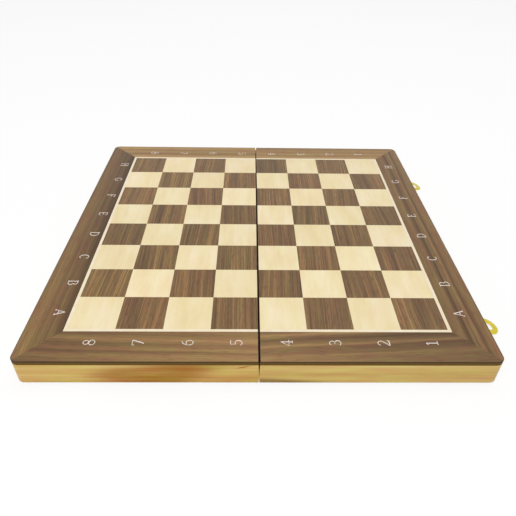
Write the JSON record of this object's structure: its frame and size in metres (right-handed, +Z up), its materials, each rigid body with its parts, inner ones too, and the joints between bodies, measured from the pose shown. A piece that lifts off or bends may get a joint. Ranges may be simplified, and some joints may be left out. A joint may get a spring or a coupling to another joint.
{
  "type": "folding chess board",
  "caption": "Folding wooden chess board that shuts into a shallow box, with an inlaid playing surface, butt hinges along the seam and two swinging brass latch loops.",
  "frame": {"origin": "on the table, in the middle of the seam between the two halves, with the board lying open", "axes": "+X to the right half and its latches, +Y along the seam from front to rear, +Z up out of the playing surface"},
  "size_m": [0.4107, 0.3802, 0.026],
  "materials": {
    "walnut_square": "quarter-cut walnut veneer, satin lacquer",
    "maple_square": "maple veneer, satin lacquer",
    "maple_line": "maple stringing, satin lacquer",
    "walnut_border": "long-grain walnut veneer, satin lacquer",
    "panel_core": "fibre board with a dark stained edge",
    "pine_rail": "clear lacquered pine",
    "felt": "pressed wool felt",
    "brass": "bright stamped brass"
  },
  "bodies": {
    "right_half": {"front_hinge_pin": "brass", "front_latch_pin": "brass", "front_latch_plate": "brass", "rear_hinge_pin": "brass", "rear_latch_pin": "brass", "rear_latch_plate": "brass", "right_dark_squares": "walnut_square", "right_felt": "felt", "right_front_border": "walnut_border", "right_front_hinge_leaf": "brass", "right_front_rail": "pine_rail", "right_hinge_rail": "pine_rail", "right_light_squares": "maple_square", "right_line": "maple_line", "right_panel": "panel_core", "right_rear_border": "walnut_border", "right_rear_hinge_leaf": "brass", "right_rear_rail": "pine_rail", "right_side_border": "walnut_border", "right_side_rail": "pine_rail"},
    "left_half": {"front_catch_plate": "brass", "front_catch_stud": "brass", "left_dark_squares": "walnut_square", "left_felt": "felt", "left_front_border": "walnut_border", "left_front_hinge_leaf": "brass", "left_front_rail": "pine_rail", "left_hinge_rail": "pine_rail", "left_light_squares": "maple_square", "left_line": "maple_line", "left_panel": "panel_core", "left_rear_border": "walnut_border", "left_rear_hinge_leaf": "brass", "left_rear_rail": "pine_rail", "left_side_border": "walnut_border", "left_side_rail": "pine_rail", "rear_catch_plate": "brass", "rear_catch_stud": "brass"},
    "front_latch_loop": {"front_latch_loop": "brass"},
    "rear_latch_loop": {"rear_latch_loop": "brass"}
  },
  "joints": [
    {"name": "fold", "type": "hinge", "parent": "right_half", "child": "left_half", "pos_m": [0, 0, 0.0014], "axis": [0, -1, 0], "range_deg": [0, 180]},
    {"name": "front_latch_swing", "type": "hinge", "parent": "right_half", "child": "front_latch_loop", "pos_m": [0.1925, -0.128, 0.00655], "axis": [0, 1, 0], "range_deg": [-104.2, 75.4]},
    {"name": "rear_latch_swing", "type": "hinge", "parent": "right_half", "child": "rear_latch_loop", "pos_m": [0.1925, 0.128, 0.00655], "axis": [0, 1, 0], "range_deg": [-104.2, 75.4]}
  ]
}
